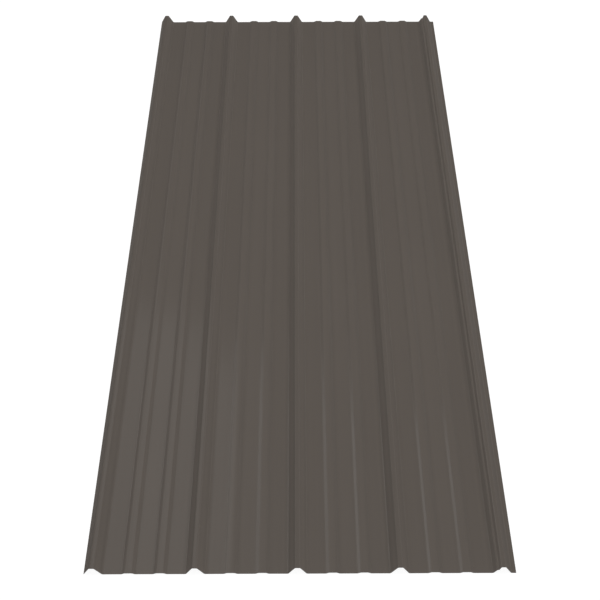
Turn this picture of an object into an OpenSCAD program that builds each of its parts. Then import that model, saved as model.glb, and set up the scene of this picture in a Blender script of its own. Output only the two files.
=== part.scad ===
/* [Sheet] */
// Length of the sheet along its ribs
sheet_l = 2133.6; // [600:0.1:3660]
// Thickness of the coated steel
sheet_t = 0.45; // [0.3:0.01:0.9]
// Number of major ribs across the sheet
rib_count = 5; // [3:1:6]
// Distance between the middles of neighbouring major ribs
rib_pitch = 228.6; // [190:0.1:320]

/* [Major ribs] */
// Height of a major rib over the plane that the sheet rests on
rib_h = 27; // [20:0.1:34]
// Width of a major rib where its flanks meet the pans
rib_base_w = 41.6; // [34:0.1:52]
// Width of a major rib's flat crown
rib_crown_w = 11.2; // [8:0.1:14]
// Inside radius of the bends at the foot of a flank
rib_foot_r = 4.5; // [1:0.1:6]
// Inside radius of the bends at the crown
rib_crown_r = 3; // [1:0.1:4]

/* [Pan beads] */
// Number of shallow stiffening beads in each pan
bead_count = 2; // [1:1:3]
// Distance between the middles of the beads in one pan
bead_pitch = 70.5; // [45:0.5:85]
// Height of a bead over the pan
bead_h = 4; // [1:0.1:6]
// Width of a bead where it leaves the pan
bead_base_w = 30.4; // [24:0.1:38]
// Width of a bead's flat crown
bead_crown_w = 16.8; // [8:0.1:20]
// Inside radius of the bends of a bead
bead_r = 6; // [1:0.1:8]

/* [Overlapping edge] */
// Height of the cut edge of the outer leg over the resting plane
leg_lift = 0.8; // [0.5:0.1:4]

/* [Underlapping edge] */
// How much narrower on each side the covered rib is than the rib that laps over it
lap_clear = 0.8; // [0.5:0.1:1.5]
// Height at which the anti-siphon ledge leaves the inner flank
ledge_h = 13.2; // [10:0.1:15]
// Width of the anti-siphon ledge
ledge_w = 4.6; // [3:0.1:6]
// Rise of the anti-siphon ledge towards the crown
ledge_rise = 1.8; // [0.5:0.1:3]
// Inside radius of the bends at the anti-siphon ledge
ledge_r = 1; // [0.4:0.1:2]
// Width of the flat foot that bears on the purlin outside the covered rib
foot_w = 11.4; // [6:0.1:20]

/* [Finish] */
// Straight lengths that stand for one bend
bend_steps = 4; // [2:1:8]
// Colour of the paint
paint = [0.36, 0.33, 0.30];

/* [Hidden] */
pan_z = sheet_t / 2;
crown_z = rib_h - sheet_t / 2;
flank_run = (rib_base_w - rib_crown_w) / 2;
flank_slope = flank_run / (crown_z - pan_z);
flank_angle = atan(1 / flank_slope);
leg_z = leg_lift + cos(flank_angle) * sheet_t / 2;
cover_w = (rib_count - 1) * rib_pitch;

// Every bend below is [x, z, inside radius], on the middle surface of the sheet.

// A flank of a major rib reaches this far from the rib's middle at a height
function flank_x(z) = rib_base_w / 2 - (z - pan_z) * flank_slope;

function rib_rise(x) = [
    [x - rib_base_w / 2, pan_z, rib_foot_r],
    [x - rib_crown_w / 2, crown_z, rib_crown_r]
];

function rib_fall(x) = [
    [x + rib_crown_w / 2, crown_z, rib_crown_r],
    [x + rib_base_w / 2, pan_z, rib_foot_r]
];

function bead(x) = [
    [x - bead_base_w / 2, pan_z, bead_r],
    [x - bead_crown_w / 2, pan_z + bead_h, bead_r],
    [x + bead_crown_w / 2, pan_z + bead_h, bead_r],
    [x + bead_base_w / 2, pan_z, bead_r]
];

function pan_beads(x) = [
    for (i = [0 : bead_count - 1])
        each bead(x + (i - (bead_count - 1) / 2) * bead_pitch)
];

// The outer leg of the overlapping rib ends in a cut edge just over the pan of the next sheet.
function overlap_leg() = [
    [-flank_x(leg_z), leg_z, 0],
    [-rib_crown_w / 2, crown_z, rib_crown_r]
];

// The inner flank of the covered rib steps in at a ledge, so that no water climbs between two lapped flanks.
function ledge_flank(x) = [
    [x - rib_base_w / 2 + lap_clear, pan_z, rib_foot_r],
    [x - flank_x(ledge_h) + lap_clear, ledge_h, ledge_r],
    [x - flank_x(ledge_h) + lap_clear + ledge_w, ledge_h + ledge_rise, ledge_r],
    [x - rib_crown_w / 2 + lap_clear, crown_z, rib_crown_r]
];

// The outer flank of the covered rib turns out into a flat foot.
function bearing_foot(x) = [
    [x + rib_crown_w / 2 - lap_clear, crown_z, rib_crown_r],
    [x + rib_base_w / 2 - lap_clear, pan_z, rib_foot_r],
    [x + rib_base_w / 2 - lap_clear + foot_w, pan_z, 0]
];

bends = concat(
    overlap_leg(),
    rib_fall(0),
    [for (i = [1 : rib_count - 2]) each concat(
        pan_beads((i - 0.5) * rib_pitch),
        rib_rise(i * rib_pitch),
        rib_fall(i * rib_pitch)
    )],
    pan_beads(cover_w - rib_pitch / 2),
    ledge_flank(cover_w),
    bearing_foot(cover_w)
);

function place(bend) = [bend[0], bend[1]];
function direction(angle) = [cos(angle), sin(angle)];
function normal(angle) = [-sin(angle), cos(angle)];
function angle_to(a, b) = atan2(b[1] - a[1], b[0] - a[0]);

// Points of one face round a bend: side is +1 for the upper face and -1 for the lower one.
function bend_points(before, bend, after, side) =
    let (
        turn_in = angle_to(before, bend),
        turn = angle_to(bend, after) - turn_in,
        hand = sign(turn),
        half = tan(abs(turn) / 2),
        room = 0.45 * min(norm(place(bend) - place(before)), norm(place(after) - place(bend))),
        r = min(bend[2] + sheet_t / 2, room / half),
        centre = place(bend) - r * half * direction(turn_in) + hand * r * normal(turn_in)
    )
    [for (i = [0 : bend_steps])
        centre + (side * sheet_t / 2 - hand * r) * normal(turn_in + turn * i / bend_steps)];

// A cut edge is square to the sheet.
function edge_point(bend, angle, side) = place(bend) + side * sheet_t / 2 * normal(angle);

function face_points(side) =
    let (last = len(bends) - 1)
    concat(
        [edge_point(bends[0], angle_to(bends[0], bends[1]), side)],
        [for (i = [1 : last - 1]) each bend_points(bends[i - 1], bends[i], bends[i + 1], side)],
        [edge_point(bends[last], angle_to(bends[last - 1], bends[last]), side)]
    );

function reversed(list) = [for (i = [len(list) - 1 : -1 : 0]) list[i]];

section = concat(face_points(1), reversed(face_points(-1)));
section_x = [for (point = section) point[0]];
middle_x = (min(section_x) + max(section_x)) / 2;

module ribbed_sheet() {
    color(paint)
    translate([-middle_x, 0, 0])
    rotate([90, 0, 0])
    linear_extrude(height = sheet_l, center = true)
    polygon(section);
}

ribbed_sheet();
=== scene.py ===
import math

import bmesh
import bpy
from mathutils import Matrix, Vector, noise


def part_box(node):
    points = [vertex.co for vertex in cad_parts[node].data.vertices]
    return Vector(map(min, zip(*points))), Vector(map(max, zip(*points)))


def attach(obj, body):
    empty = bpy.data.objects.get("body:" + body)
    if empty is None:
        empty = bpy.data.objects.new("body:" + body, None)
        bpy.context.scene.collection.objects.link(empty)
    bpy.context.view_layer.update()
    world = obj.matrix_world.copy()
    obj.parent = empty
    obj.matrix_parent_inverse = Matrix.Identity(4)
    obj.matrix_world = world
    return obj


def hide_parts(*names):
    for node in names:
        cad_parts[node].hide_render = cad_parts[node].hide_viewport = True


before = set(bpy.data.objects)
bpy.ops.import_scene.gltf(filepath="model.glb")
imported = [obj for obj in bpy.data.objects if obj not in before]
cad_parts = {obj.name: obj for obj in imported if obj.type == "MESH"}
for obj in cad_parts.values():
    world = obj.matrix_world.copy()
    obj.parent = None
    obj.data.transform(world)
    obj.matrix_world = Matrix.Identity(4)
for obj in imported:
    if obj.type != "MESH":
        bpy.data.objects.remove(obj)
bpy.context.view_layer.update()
low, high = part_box("ribbed_sheet")
mm = 0.001
scene = bpy.context.scene


# Sizes of the roll-formed sheet, in millimetres; its length and height are those of the solid
sheetSizes = {
    "length": (high.y - low.y) / mm,
    "thickness": 0.45,
    "ribCount": 5,
    "ribPitch": 228.6,
    "ribHeight": (high.z - low.z) / mm,
    "ribBase": 41.6,
    "ribCrown": 11.2,
    "ribFootRadius": 4.5,
    "ribCrownRadius": 3.0,
    "beadPitch": 70.5,
    "beadHeight": 4.0,
    "beadBase": 30.4,
    "beadCrown": 16.8,
    "beadRadius": 6.0,
    "legLift": 0.8,
    "lapClear": 0.8,
    "ledgeHeight": 13.2,
    "ledgeWidth": 4.6,
    "ledgeRise": 1.8,
    "ledgeRadius": 1.0,
    "footWidth": 11.4,
    "bendSegments": 6,
    "bendShare": 0.45,     # most of a straight stretch that the bend at one of its ends takes up
    "flatCell": 9.0,       # widest strip left across a flat
    "rows": 96,            # cells along the length
    "panWave": 0.35,       # how far a pan lifts off its plane between the ribs
    "panWaveLength": 420.0,
    "panWaveWidth": 90.0,
    "panWaveSeed": 3.7,
    "panWaveMargin": 6.0,  # flat kept beside a rib
    "panWaveRise": 40.0,   # over which a wave grows to its full height
    "bendContrast": 12.0,  # how soon a turn of the section counts as a sharp bend
    "rubOverCrown": 0.6,   # share of the crown's radius that is rubbed too
    "rubFade": 1.3,        # how fast the rubbed face of a flank fades out at its crown
    "rubRise": 2.4,        # how far up from the pans it fades in
    "handledDrop": 5.0,    # how far below a crown the painted shade starts
    "crownShadeFade": 2.0,
}


# Corners of the section on the sheet's middle surface, each as x, z and inside bend radius
def profileBends(s):
    panZ = s["thickness"] / 2
    crownZ = s["ribHeight"] - panZ
    slope = (s["ribBase"] - s["ribCrown"]) / 2 / (crownZ - panZ)
    cover = (s["ribCount"] - 1) * s["ribPitch"]
    halfBase, halfCrown = s["ribBase"] / 2, s["ribCrown"] / 2

    def flankX(z):
        return halfBase - (z - panZ) * slope

    def bead(x):
        top = panZ + s["beadHeight"]
        return [
            (x - s["beadBase"] / 2, panZ, s["beadRadius"]),
            (x - s["beadCrown"] / 2, top, s["beadRadius"]),
            (x + s["beadCrown"] / 2, top, s["beadRadius"]),
            (x + s["beadBase"] / 2, panZ, s["beadRadius"]),
        ]

    def ribRise(x):
        return [(x - halfBase, panZ, s["ribFootRadius"]), (x - halfCrown, crownZ, s["ribCrownRadius"])]

    def ribFall(x):
        return [(x + halfCrown, crownZ, s["ribCrownRadius"]), (x + halfBase, panZ, s["ribFootRadius"])]

    legZ = s["legLift"] + math.cos(math.atan(1 / slope)) * panZ
    bends = [(-flankX(legZ), legZ, 0), (-halfCrown, crownZ, s["ribCrownRadius"])] + ribFall(0)
    for i in range(s["ribCount"] - 1):
        pan = (i + 0.5) * s["ribPitch"]
        bends += bead(pan - s["beadPitch"] / 2) + bead(pan + s["beadPitch"] / 2)
        if i < s["ribCount"] - 2:
            bends += ribRise((i + 1) * s["ribPitch"]) + ribFall((i + 1) * s["ribPitch"])
    ledge = cover - flankX(s["ledgeHeight"]) + s["lapClear"]
    foot = cover + halfBase - s["lapClear"]
    bends += [
        (cover - halfBase + s["lapClear"], panZ, s["ribFootRadius"]),
        (ledge, s["ledgeHeight"], s["ledgeRadius"]),
        (ledge + s["ledgeWidth"], s["ledgeHeight"] + s["ledgeRise"], s["ledgeRadius"]),
        (cover - halfCrown + s["lapClear"], crownZ, s["ribCrownRadius"]),
        (cover + halfCrown - s["lapClear"], crownZ, s["ribCrownRadius"]),
        (foot, panZ, s["ribFootRadius"]),
        (foot + s["footWidth"], panZ, 0),
    ]
    return bends


# Each corner of the polyline gets a vertex bevel as long as its bend's tangent
def roundBends(bm, wire, bends, s):
    groups = {}
    for i in range(1, len(bends) - 1):
        before = Vector(bends[i - 1][:2]) - Vector(bends[i][:2])
        after = Vector(bends[i + 1][:2]) - Vector(bends[i][:2])
        turn = math.pi - before.angle(after)
        tangent = (bends[i][2] + s["thickness"] / 2) * math.tan(turn / 2)
        tangent = min(tangent, s["bendShare"] * before.length, s["bendShare"] * after.length)
        groups.setdefault(round(tangent, 4), []).append(wire[i])
    for tangent, corners in groups.items():
        bmesh.ops.bevel(
            bm, geom=corners, offset=tangent, offset_type="OFFSET", affect="VERTICES",
            segments=s["bendSegments"], profile=0.5, material=-1,
        )


# Walks the profile from its left end; strip is how far a point lies across the flat coil it was rolled from
def markStrip(bm, layer, bendLayer, s):
    point = min((v for v in bm.verts if len(v.link_edges) == 1), key=lambda v: v.co.x)
    edge, across = None, 0.0
    while True:
        point[layer] = Vector((across * mm, 0, 0))
        onward = [e for e in point.link_edges if e is not edge]
        if edge is not None and onward:
            back = edge.other_vert(point).co - point.co
            ahead = onward[0].other_vert(point).co - point.co
            point[bendLayer] = min(1.0, (math.pi - back.angle(ahead)) * s["bendContrast"])
        if not onward:
            break
        edge = onward[0]
        across += edge.calc_length()
        point = edge.other_vert(point)


# The flanks of the ribs rub on the next sheet in a stack, and the two outermost ones get painted shade as
# well: darker paint over their rubbed face.
# In the first pan the left flanks of the beads rub too; places are in millimetres from a bead's middle.
rubbedBeads = {"place": -10.6, "width": 2.8, "fade": 1.5}


def markRubbed(bm, rubLayer, edgeShadeLayer, s, middle):
    pitch = s["ribPitch"]
    beads = [(pitch + side * s["beadPitch"]) / 2 + rubbedBeads["place"] for side in (-1, 1)]
    crownEdge = s["ribCrown"] / 2 - s["rubOverCrown"] * s["ribCrownRadius"]
    lastRib = (s["ribCount"] - 1) * pitch
    for v in bm.verts:
        x = v.co.x + middle
        fromRib = abs((x + pitch / 2) % pitch - pitch / 2)
        beside = min(1.0, max(0.0, (fromRib - crownEdge) / s["rubFade"]))
        above = min(1.0, max(0.0, (v.co.z - s["thickness"] / 2) / s["rubRise"]))
        onRib = fromRib < s["ribBase"] / 2
        fromBead = min(abs(x - bead) for bead in beads) - rubbedBeads["width"]
        onBead = min(1.0, max(0.0, 1 - fromBead / rubbedBeads["fade"]))
        v[rubLayer] = beside if x < 0 else max(beside * above * onRib, onBead)
        # Painted shade on the two outermost flanks
        v[edgeShadeLayer] = v[rubLayer] if x < 0 or x > lastRib else 0.0


# Painted light and shade: strips where the paint is a touch paler or darker, to even out the shading of
# flanks, feet, bends and beads. Places are in millimetres to the right of a rib, widths go to each side,
# and each rib has its own share of the paint's colour, from left to right.
beadSide = (sheetSizes["beadBase"] + sheetSizes["beadCrown"]) / 4
firstBead = (sheetSizes["ribPitch"] - sheetSizes["beadPitch"]) / 2
secondBead = (sheetSizes["ribPitch"] + sheetSizes["beadPitch"]) / 2
paintedLightAndShadeMarks = {
    "crownBend": {"place": -6.5, "width": 1.0, "shares": (-0.1, -0.1, -0.1, -0.08, 0)},
    "aboveLedge": {"place": -6.4, "width": 1.6, "shares": (0, 0, 0, 0, 0.12)},
    "rightFlank": {"place": 15.0, "width": 3.0, "shares": (0.05, 0.05, 0.05, 0.02, 0)},
    "rightFoot": {"place": 26.0, "width": 5.0, "shares": (0.03, 0.03, 0.03, 0.02, 0)},
    "leftFoot": {"place": -28.0, "width": 3.0, "shares": (0, 0.05, 0.05, 0.05, 0.05)},
    "firstBeadLeft": {"place": firstBead - beadSide, "width": 3.4, "shares": (0.04, 0.08, 0.09, 0.08, 0)},
    "firstBeadRight": {"place": firstBead + beadSide, "width": 3.4, "shares": (0, -0.04, -0.06, -0.07, 0)},
    "secondBeadLeft": {"place": secondBead - beadSide, "width": 3.4, "shares": (-0.08, -0.01, 0, 0.02, 0)},
    "secondBeadRight": {"place": secondBead + beadSide, "width": 3.4, "shares": (0.06, 0.04, 0.04, 0.04, 0)},
}
paintedLightAndShadeFade = 2.5


# Scales the paint paler or darker, strip by strip: painted light and shade
def markPaintedLightAndShade(bm, layer, s, marks, middle):
    for v in bm.verts:
        paintedLightAndShade = 1.0
        for mark in marks.values():
            for i, share in enumerate(mark["shares"]):
                away = abs(v.co.x + middle - i * s["ribPitch"] - mark["place"])
                paintedLightAndShade += share * min(1.0, max(0.0, 1 - (away - mark["width"]) / paintedLightAndShadeFade))
        v[layer] = paintedLightAndShade


# Painted shade: the paint is darker over the top of each crown, fading in below it
def markHandled(bm, layer, s):
    start = s["ribHeight"] - s["thickness"] / 2 - s["handledDrop"]
    for v in bm.verts:
        v[layer] = min(1.0, max(0.0, (v.co.z - start) / s["crownShadeFade"]))


# The flats of the pans lift a little, as long light sheets do; ribs and bends stay where they are
def waveSheet(bm, s, middle):
    half = s["ribBase"] / 2 + s["panWaveMargin"]
    reach = s["ribPitch"] * (s["ribCount"] - 1) / 2 + s["panWaveRise"]
    for v in bm.verts:
        place = (v.co.x + middle) % s["ribPitch"]
        fromRib = min(place, s["ribPitch"] - place)
        if fromRib < half or abs(v.co.x) > reach:
            continue
        hold = min(1.0, (fromRib - half) / s["panWaveRise"])
        spot = Vector((v.co.x / s["panWaveWidth"], v.co.y / s["panWaveLength"], s["panWaveSeed"]))
        v.co.z += s["panWave"] * hold * hold * (3 - 2 * hold) * (0.5 + 0.5 * noise.noise(spot))


def makeRibbedSheet(s):
    bends = profileBends(s)
    left, right = bends[0], bends[-1]
    slopeAngle = math.atan2(bends[1][1] - left[1], bends[1][0] - left[0])
    leftmost = left[0] - math.sin(slopeAngle) * s["thickness"] / 2
    middle = (leftmost + right[0]) / 2
    bm = bmesh.new()
    wire = [bm.verts.new((x - middle, -s["length"] / 2, z)) for x, z, _ in bends]
    for a, b in zip(wire, wire[1:]):
        bm.edges.new((a, b))
    roundBends(bm, wire, bends, s)
    wide = {}
    for e in bm.edges:
        wide.setdefault(math.ceil(e.calc_length() / s["flatCell"]), []).append(e)
    for count in sorted(wide):
        if count > 1:
            bmesh.ops.subdivide_edges(bm, edges=wide[count], cuts=count - 1)
    strip = bm.verts.layers.float_vector.new("strip")
    bendMask = bm.verts.layers.float.new("bend")
    markStrip(bm, strip, bendMask, s)
    markRubbed(bm, bm.verts.layers.float.new("rub"), bm.verts.layers.float.new("edgeShade"), s, middle)
    # Painted shade over the crowns
    markHandled(bm, bm.verts.layers.float.new("handled"), s)
    # Painted light and shade: paler and darker strips along the ribs and beads
    markPaintedLightAndShade(bm, bm.verts.layers.float.new("paintedLightAndShade"), s, paintedLightAndShadeMarks, middle)
    section = bm.edges[:]
    out = bmesh.ops.extrude_edge_only(bm, edges=section)
    moved = [v for v in out["geom"] if isinstance(v, bmesh.types.BMVert)]
    bmesh.ops.translate(bm, verts=moved, vec=(0, s["length"], 0))
    runs = [e for e in bm.edges if abs(e.verts[0].co.y - e.verts[1].co.y) > 1]  # those along the ribs
    bmesh.ops.subdivide_edges(bm, edges=runs, cuts=s["rows"] - 1, use_grid_fill=True)
    for v in bm.verts:
        v[strip].y = (v.co.y + s["length"] / 2) * mm
    waveSheet(bm, s, middle)
    bmesh.ops.recalc_face_normals(bm, faces=bm.faces[:])
    if sum(f.normal.z for f in bm.faces) < 0:
        bmesh.ops.reverse_faces(bm, faces=bm.faces[:])
    bmesh.ops.scale(bm, vec=(mm, mm, mm), verts=bm.verts[:])
    for f in bm.faces:
        f.smooth = True
    for e in bm.edges:
        e.smooth = not e.is_boundary  # keeps the cut edges crisp
    mesh = bpy.data.meshes.new("ribbedSheetSkin")
    bm.to_mesh(mesh)
    bm.free()
    sheet = bpy.data.objects.new("ribbedSheetSkin", mesh)
    scene.collection.objects.link(sheet)
    wall = sheet.modifiers.new("wall", "SOLIDIFY")
    wall.thickness = s["thickness"] * mm
    wall.offset = 0
    wall.use_even_offset = True
    wall.use_quality_normals = True
    wall.material_offset = 1
    wall.material_offset_rim = 2
    return sheet


# Node helpers. A fixed value goes on the socket itself, and another node's output is linked to it.
def feed(tree, socket, value):
    if isinstance(value, bpy.types.NodeSocket):
        tree.links.new(value, socket)
    else:
        socket.default_value = value


def addNode(tree, kind, label, **inputs):
    node = tree.nodes.new(kind)
    node.name = node.label = label
    for name, value in inputs.items():
        feed(tree, node.inputs[name.replace("_", " ")], value)
    return node


def placeGroup(tree, group, label, **inputs):
    node = tree.nodes.new("ShaderNodeGroup")
    node.node_tree = group
    node.name = node.label = label
    for name, value in inputs.items():
        feed(tree, node.inputs[name.replace("_", " ")], value)
    return node


def mathNode(tree, label, operation, a, b):
    node = addNode(tree, "ShaderNodeMath", label)
    node.operation = operation
    feed(tree, node.inputs[0], a)
    feed(tree, node.inputs[1], b)
    return node.outputs[0]


def scaledColour(tree, label, colour, factor):
    node = addNode(tree, "ShaderNodeVectorMath", label)
    node.operation = "SCALE"
    feed(tree, node.inputs[0], colour)
    feed(tree, node.inputs["Scale"], factor)
    return node.outputs["Vector"]


# The sockets of a Mix node change with its kind, so they are fed once the kind is set
def mixNode(tree, label, kind, factor, a, b):
    node = addNode(tree, "ShaderNodeMix", label)
    node.data_type = kind
    for name, value in (("Factor", factor), ("A", a), ("B", b)):
        feed(tree, node.inputs[name], value)
    return node.outputs["Result"]


def newGroup(name, inputs, outputs):
    group = bpy.data.node_groups.new(name, "ShaderNodeTree")
    for title, kind, value in inputs:
        socket = group.interface.new_socket(title, in_out="INPUT", socket_type=kind)
        if value is not None:
            socket.default_value = value
    for title, kind in outputs:
        group.interface.new_socket(title, in_out="OUTPUT", socket_type=kind)
    return group, group.nodes.new("NodeGroupInput"), group.nodes.new("NodeGroupOutput")


# Noise patterns on the flat strip. Scales are in cells per metre across it, and an along under 1 draws
# the cells out lengthwise.
patterns = {
    "mottle": {"along": 0.45, "scale": 7, "detail": 3},
    "streaks": {"along": 0.012, "scale": 160, "detail": 2},
    "grain": {"along": 1, "scale": 900, "detail": 2},
    "peel": {"along": 1, "scale": 420, "detail": 2},
    "roller lines": {"along": 0.02, "scale": 700, "detail": 1},
    "wear patches": {"along": 0.1, "scale": 90, "detail": 3},
    "rub patches": {"along": 0.08, "scale": 60, "detail": 2},
}
wearStart, wearContrast = 0.35, 2.2  # noise level where a wear patch starts, and how fast it deepens


def patternNoise(tree, label, strip):
    pattern = patterns[label]
    stretch = addNode(
        tree, "ShaderNodeMapping", label + " stretch", Vector=strip, Scale=(1, pattern["along"], 1)
    )
    texture = addNode(
        tree, "ShaderNodeTexNoise", label, Vector=stretch.outputs["Vector"], Scale=pattern["scale"],
        Detail=pattern["detail"],
    )
    return texture.outputs["Fac"]


# Colour and roughness of a coil-coated face: slow mottling, streaks along the strip and fine grain
def buildCoilCoatGroup():
    group, source, sink = newGroup(
        "coilCoat",
        [
            ("Strip", "NodeSocketVector", None),
            ("Paint", "NodeSocketColor", (0.5, 0.5, 0.5, 1)),
            ("Mottle", "NodeSocketFloat", 0.04),
            ("Streaks", "NodeSocketFloat", 0.03),
            ("Grain", "NodeSocketFloat", 0.02),
            ("Roughness", "NodeSocketFloat", 0.3),
            ("Roughness Range", "NodeSocketFloat", 0.06),
        ],
        [("Color", "NodeSocketColor"), ("Roughness", "NodeSocketFloat")],
    )
    strip = source.outputs["Strip"]
    mottle, streaks, grain = (patternNoise(group, label, strip) for label in ("mottle", "streaks", "grain"))
    shade = 1.0
    for label, value in (("Mottle", mottle), ("Streaks", streaks), ("Grain", grain)):
        centred = mathNode(group, label + " centred", "SUBTRACT", value, 0.5)
        scaled = mathNode(group, label + " scaled", "MULTIPLY", centred, source.outputs[label])
        shade = mathNode(group, label + " added", "ADD", shade, scaled)
    tint = scaledColour(group, "shaded paint", source.outputs["Paint"], shade)
    group.links.new(tint, sink.inputs["Color"])
    centred = mathNode(group, "gloss centred", "SUBTRACT", streaks, 0.5)
    spread = mathNode(group, "gloss spread", "MULTIPLY", centred, source.outputs["Roughness Range"])
    total = mathNode(group, "gloss", "ADD", source.outputs["Roughness"], spread)
    group.links.new(total, sink.inputs["Roughness"])
    return group


# Height of the fine orange peel of a baked coat, with faint roller lines along the strip
def buildOrangePeelGroup():
    group, source, sink = newGroup(
        "orangePeel",
        [
            ("Strip", "NodeSocketVector", None),
            ("Peel", "NodeSocketFloat", 1.0),
            ("Roller Lines", "NodeSocketFloat", 0.4),
        ],
        [("Height", "NodeSocketFloat")],
    )
    strip = source.outputs["Strip"]
    peel = patternNoise(group, "peel", strip)
    lines = patternNoise(group, "roller lines", strip)
    a = mathNode(group, "peel height", "MULTIPLY", peel, source.outputs["Peel"])
    b = mathNode(group, "line height", "MULTIPLY", lines, source.outputs["Roller Lines"])
    group.links.new(mathNode(group, "height", "ADD", a, b), sink.inputs["Height"])
    return group


# Mask of the darker paint: wear on the bends in patches along the strip, and painted shade on the crowns all
# over
def buildBendWearAndCrownShadeGroup():
    group, source, sink = newGroup(
        "bendWear",
        [
            ("Strip", "NodeSocketVector", None),
            ("Bend", "NodeSocketFloat", 0.0),
            ("Handled", "NodeSocketFloat", 0.0),
            ("Amount", "NodeSocketFloat", 0.5),
        ],
        [("Mask", "NodeSocketFloat")],
    )
    patches = patternNoise(group, "wear patches", source.outputs["Strip"])
    raised = mathNode(group, "wear start", "SUBTRACT", patches, wearStart)
    widened = mathNode(group, "wear contrast", "MULTIPLY", raised, wearContrast)
    onBend = mathNode(group, "on bends", "MULTIPLY", widened, source.outputs["Bend"])
    amount = mathNode(group, "wear amount", "MULTIPLY", onBend, source.outputs["Amount"])
    # Painted shade: the crowns' mask joins the wear on the bends
    total = mathNode(group, "with painted crown shade", "MAXIMUM", amount, source.outputs["Handled"])
    clamp = group.nodes.new("ShaderNodeClamp")
    group.links.new(total, clamp.inputs["Value"])
    group.links.new(clamp.outputs["Result"], sink.inputs["Mask"])
    return group


# Mask of the faces dulled in the stack, a little uneven along the strip
def buildStackRubGroup():
    group, source, sink = newGroup(
        "stackRub",
        [
            ("Strip", "NodeSocketVector", None),
            ("Rub", "NodeSocketFloat", 0.0),
            ("Unevenness", "NodeSocketFloat", 0.2),
        ],
        [("Mask", "NodeSocketFloat")],
    )
    patches = patternNoise(group, "rub patches", source.outputs["Strip"])
    lost = mathNode(group, "rub gaps", "MULTIPLY", patches, source.outputs["Unevenness"])
    kept = mathNode(group, "rub cover", "SUBTRACT", 1.0, lost)
    mask = mathNode(group, "rubbed", "MULTIPLY", kept, source.outputs["Rub"])
    group.links.new(mask, sink.inputs["Mask"])
    return group


reliefDepth = 0.0002  # of the paint's orange peel, in metres
topcoatLook = {
    "paint": (0.1039, 0.0899, 0.0784, 1),
    "wornAndShadedPaint": (0.0950, 0.0822, 0.0717, 1),
    "edgeShadePaint": (0.0860, 0.0744, 0.0650, 1),
    "mottle": 0.05,
    "streaks": 0.04,
    "grain": 0.04,
    "roughness": 0.14,
    "roughnessRange": 0.03,
    "rubbedRoughness": 0.95,
    "specular": 0.15,
    "peel": 1.0,
    "rollerLines": 0.35,
    "bump": 0.015,
    "bendWear": 0.6,
}
backerLook = {
    "paint": (0.46, 0.46, 0.44, 1),
    "wornAndShadedPaint": (0.40, 0.40, 0.385, 1),
    "edgeShadePaint": (0.39, 0.39, 0.375, 1),
    "mottle": 0.07,
    "streaks": 0.08,
    "grain": 0.06,
    "roughness": 0.5,
    "roughnessRange": 0.1,
    "rubbedRoughness": 0.8,
    "specular": 0.4,
    "peel": 0.7,
    "rollerLines": 0.8,
    "bump": 0.03,
    "bendWear": 0.5,
}
edgeLook = {
    "paint": (0.50, 0.51, 0.52, 1),
    "wornAndShadedPaint": (0.30, 0.30, 0.30, 1),
    "edgeShadePaint": (0.42, 0.43, 0.44, 1),
    "mottle": 0.25,
    "streaks": 0.2,
    "grain": 0.2,
    "roughness": 0.42,
    "roughnessRange": 0.15,
    "rubbedRoughness": 0.6,
    "specular": 0.5,
    "peel": 1.0,
    "rollerLines": 1.0,
    "bump": 0.05,
    "bendWear": 0.4,
}


def readAttribute(tree, name):
    node = tree.nodes.new("ShaderNodeAttribute")
    node.name = node.label = node.attribute_name = name
    return node.outputs


def makeFinish(name, look, metallic, groups):
    material = bpy.data.materials.new(name)
    material.use_nodes = True
    tree = material.node_tree
    shader = tree.nodes["Principled BSDF"]
    strip = readAttribute(tree, "strip")["Vector"]
    bend, handled, rub, edgeShade, paintedLightAndShade = (
        readAttribute(tree, title)["Fac"] for title in ("bend", "handled", "rub", "edgeShade", "paintedLightAndShade")
    )
    coat = placeGroup(
        tree, groups["coat"], "coil coat", Strip=strip, Paint=look["paint"], Mottle=look["mottle"],
        Streaks=look["streaks"], Grain=look["grain"], Roughness=look["roughness"],
        Roughness_Range=look["roughnessRange"],
    )
    wearAndShade = placeGroup(
        tree, groups["wearAndShade"], "bend wear and crown shade", Strip=strip, Bend=bend, Handled=handled, Amount=look["bendWear"]
    )
    rubbed = placeGroup(tree, groups["rub"], "stack rub", Strip=strip, Rub=rub)
    colour = mixNode(
        # Wear on the bends and painted shade on the crowns darken the paint
        tree, "worn and shaded paint", "RGBA", wearAndShade.outputs["Mask"], coat.outputs["Color"], look["wornAndShadedPaint"]
    )
    # Painted shade: darker paint on the two outermost flanks
    colour = mixNode(tree, "painted edge shade", "RGBA", edgeShade, colour, look["edgeShadePaint"])
    # Painted light and shade: the strips scale the paint paler or darker
    colour = scaledColour(tree, "painted light and shade", colour, paintedLightAndShade)
    tree.links.new(colour, shader.inputs["Base Color"])
    gloss = mixNode(
        tree, "rubbed gloss", "FLOAT", rubbed.outputs["Mask"], coat.outputs["Roughness"],
        look["rubbedRoughness"],
    )
    tree.links.new(gloss, shader.inputs["Roughness"])
    peel = placeGroup(
        tree, groups["peel"], "orange peel", Strip=strip, Peel=look["peel"], Roller_Lines=look["rollerLines"]
    )
    bump = addNode(
        tree, "ShaderNodeBump", "fine relief", Strength=look["bump"], Distance=reliefDepth,
        Height=peel.outputs["Height"],
    )
    tree.links.new(bump.outputs["Normal"], shader.inputs["Normal"])
    shader.inputs["Specular IOR Level"].default_value = look["specular"]
    shader.inputs["Metallic"].default_value = metallic
    return material


# The floor and the background look white, but light the sheet less than that. Sizes are in metres.
stageLook = {
    "floorSize": 60.0,
    "floorDrop": 0.0004,
    "floorColour": (0.5, 0.5, 0.5, 1),
    "whiteShare": 0.93,
    "litShare": 0.13,
    "worldLevel": 0.58,
}


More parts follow.
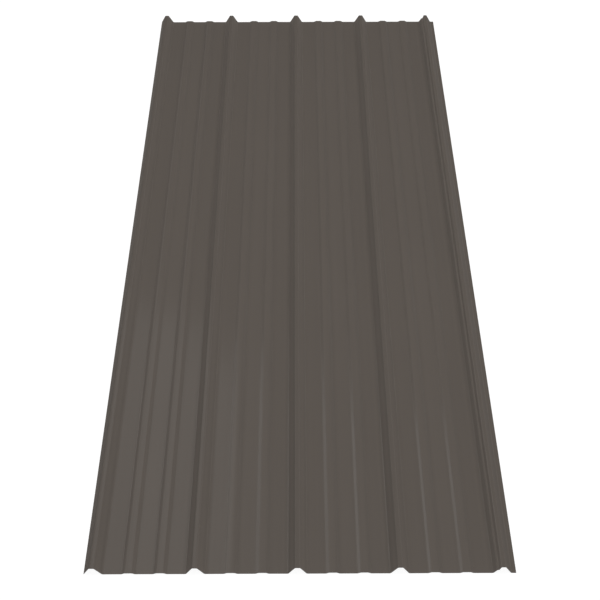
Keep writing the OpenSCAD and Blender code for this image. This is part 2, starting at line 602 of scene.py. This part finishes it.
# A flat square of the set, facing up
def makeCard(name, size, height, material):
    bm = bmesh.new()
    bmesh.ops.create_grid(bm, x_segments=1, y_segments=1, size=size / 2)
    bmesh.ops.translate(bm, verts=bm.verts[:], vec=(0, 0, height))
    mesh = bpy.data.meshes.new(name)
    bm.to_mesh(mesh)
    bm.free()
    mesh.materials.append(material)
    card = bpy.data.objects.new(name, mesh)
    scene.collection.objects.link(card)
    return card


# Gives 1 for camera, glossy and transmission rays, which see the white background, and 0 for the others
def seesBackground(tree):
    rays = tree.nodes.new("ShaderNodeLightPath").outputs
    seen = mathNode(tree, "camera or glossy", "MAXIMUM", rays["Is Camera Ray"], rays["Is Glossy Ray"])
    return mathNode(tree, "or transmission", "MAXIMUM", seen, rays["Is Transmission Ray"])


def makeFloor(look):
    material = bpy.data.materials.new("paleFloor")
    material.use_nodes = True
    tree = material.node_tree
    tree.nodes.remove(tree.nodes["Principled BSDF"])
    output = tree.nodes["Material Output"]
    lit = look["litShare"]
    plain = addNode(tree, "ShaderNodeBsdfDiffuse", "plain floor", Color=look["floorColour"])
    shown = addNode(tree, "ShaderNodeBsdfDiffuse", "shown floor", Color=(lit, lit, lit, 1))
    white = addNode(tree, "ShaderNodeEmission", "white share", Strength=look["whiteShare"])
    added = tree.nodes.new("ShaderNodeAddShader")
    tree.links.new(shown.outputs[0], added.inputs[0])
    tree.links.new(white.outputs[0], added.inputs[1])
    mix = tree.nodes.new("ShaderNodeMixShader")
    tree.links.new(seesBackground(tree), mix.inputs["Fac"])
    tree.links.new(plain.outputs[0], mix.inputs[1])
    tree.links.new(added.outputs[0], mix.inputs[2])
    tree.links.new(mix.outputs[0], output.inputs["Surface"])
    floor = makeCard("studioFloor", look["floorSize"], -look["floorDrop"], material)


def makeWorld(look):
    world = bpy.data.worlds.new("paleStudio")
    scene.world = world
    world.use_nodes = True
    tree = world.node_tree
    background = tree.nodes["Background"]
    background.inputs["Color"].default_value = (1, 1, 1, 1)
    level = tree.nodes.new("ShaderNodeMapRange")
    level.inputs["To Min"].default_value = look["worldLevel"]
    level.inputs["To Max"].default_value = 1.0
    tree.links.new(seesBackground(tree), level.inputs["Value"])
    tree.links.new(level.outputs["Result"], background.inputs["Strength"])


# Soft lamps that light the paint but don't show in it, in metres, degrees and watts
lampSetup = {
    "overheadKey": {"along": 0.0, "distance": 4.5, "elevation": 90.0, "size": (3.0, 3.0), "power": 87.0},
    "highFillRight": {"along": 0.0, "distance": 8.0, "elevation": 50.0, "size": (4.0, 2.0), "power": 64.0},
    "lowFillRight": {"along": 0.5, "distance": 5.0, "elevation": 8.5, "size": (2.5, 1.25), "power": 92.0},
    "lowFillLeft": {"along": 0.9, "distance": 5.0, "elevation": 171.5, "size": (2.6, 1.3), "power": 74.0},
}


def addLamp(name, place, turn, size, power, glossyOnly):
    data = bpy.data.lights.new(name, "AREA")
    data.shape = "RECTANGLE"
    data.size, data.size_y = size
    data.energy = power
    lampObject = bpy.data.objects.new(name, data)
    lampObject.location = place
    lampObject.rotation_euler = turn
    lampObject.visible_diffuse = not glossyOnly
    lampObject.visible_glossy = glossyOnly
    scene.collection.objects.link(lampObject)


def makeLamps(setup):
    for name, lamp in setup.items():
        angle = math.radians(lamp["elevation"])
        aim = Vector((0, lamp["along"], 0))
        place = aim + lamp["distance"] * Vector((math.cos(angle), 0, math.sin(angle)))
        turn = (aim - place).to_track_quat("-Z", "Y").to_euler()
        addLamp(name, place, turn, lamp["size"], lamp["power"], False)


# Soft boxes on an arch over the sheet, seen only as sheen on its pans and beads. Angles are in degrees
# from straight up towards the left, spans in metres along the ribs, brightness in shares of white.
archRadius = 2.5
archBoxes = {
    "panBoxInner": {"angles": (7.8, 12.0), "span": (-0.1, 1.46), "brightness": 1.2},
    "panBoxOuter": {"angles": (12.0, 25.0), "span": (-0.1, 1.74), "brightness": 1.2},
    "beadBoxHigh": {"angles": (39.5, 52.0), "span": (-0.1, 1.20), "brightness": 2.9},
    "beadBoxMiddle": {"angles": (52.0, 61.0), "span": (-0.1, 1.48), "brightness": 1.8},
    "beadBoxLow": {"angles": (61.0, 65.0), "span": (-0.1, 1.51), "brightness": 1.3},
    "farBoxLeft": {"angles": (43.0, 76.0), "span": (1.6, 5.2), "brightness": 0.11},
    "sideBoxRight": {"angles": (-76.0, -42.0), "span": (-0.1, 2.2), "brightness": 0.3},
    "farBoxRight": {"angles": (-76.0, -42.0), "span": (2.2, 5.2), "brightness": 0.13},
}


def makeArch(boxes, radius):
    for name, box in boxes.items():
        start, end = box["angles"]
        near, far = box["span"]
        angle = math.radians((start + end) / 2)
        width = 2 * radius * math.tan(math.radians(end - start) / 2)
        place = (-radius * math.sin(angle), (near + far) / 2, radius * math.cos(angle))
        power = math.pi * width * (far - near) * box["brightness"]
        addLamp(name, place, (0, -angle, 0), (width, far - near), power, True)


# A black card over the set, seen only in reflections
flagSetup = {"size": 60.0, "height": 3.4, "colour": (0.01, 0.01, 0.01, 1)}


def makeCeilingFlag(setup):
    black = bpy.data.materials.new("blackCard")
    black.use_nodes = True
    black.node_tree.nodes["Principled BSDF"].inputs["Base Color"].default_value = setup["colour"]
    flag = makeCard("ceilingFlag", setup["size"], setup["height"], black)
    flag.visible_camera = False
    flag.visible_diffuse = False
    flag.visible_transmission = False
    flag.visible_shadow = False


# The photographer's stand point, in metres
cameraSetup = {
    "place": (-0.0044, -2.1669, 2.1767),
    "aim": (0.0033, -0.2529, 0),
    "lens": 63.45,
    "sensor": 36.0,
}


def makeCamera(setup):
    data = bpy.data.cameras.new("standingCamera")
    data.lens = setup["lens"]
    data.sensor_width = setup["sensor"]
    camera = bpy.data.objects.new("standingCamera", data)
    camera.location = setup["place"]
    direction = Vector(setup["aim"]) - Vector(setup["place"])
    camera.rotation_euler = direction.to_track_quat("-Z", "Y").to_euler()
    scene.collection.objects.link(camera)
    scene.camera = camera


makeCamera(cameraSetup)
print("camera placed")

makeFloor(stageLook)
makeWorld(stageLook)
makeLamps(lampSetup)
makeArch(archBoxes, archRadius)
makeCeilingFlag(flagSetup)
print("floor, background and lamps ready")

sheet = makeRibbedSheet(sheetSizes)
print("sheet formed:", len(sheet.data.polygons), "cells")

groups = {
    "coat": buildCoilCoatGroup(),
    "peel": buildOrangePeelGroup(),
    "wearAndShade": buildBendWearAndCrownShadeGroup(),
    "rub": buildStackRubGroup(),
}
sheet.data.materials.append(makeFinish("bronzeTopcoat", topcoatLook, 0.0, groups))
sheet.data.materials.append(makeFinish("greyBackerCoat", backerLook, 0.0, groups))
sheet.data.materials.append(makeFinish("bareCutEdge", edgeLook, 0.9, groups))
print("finishes applied")

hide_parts("ribbed_sheet")
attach(sheet, "root")

scene.view_settings.view_transform = "Standard"
bpy.context.view_layer.update()
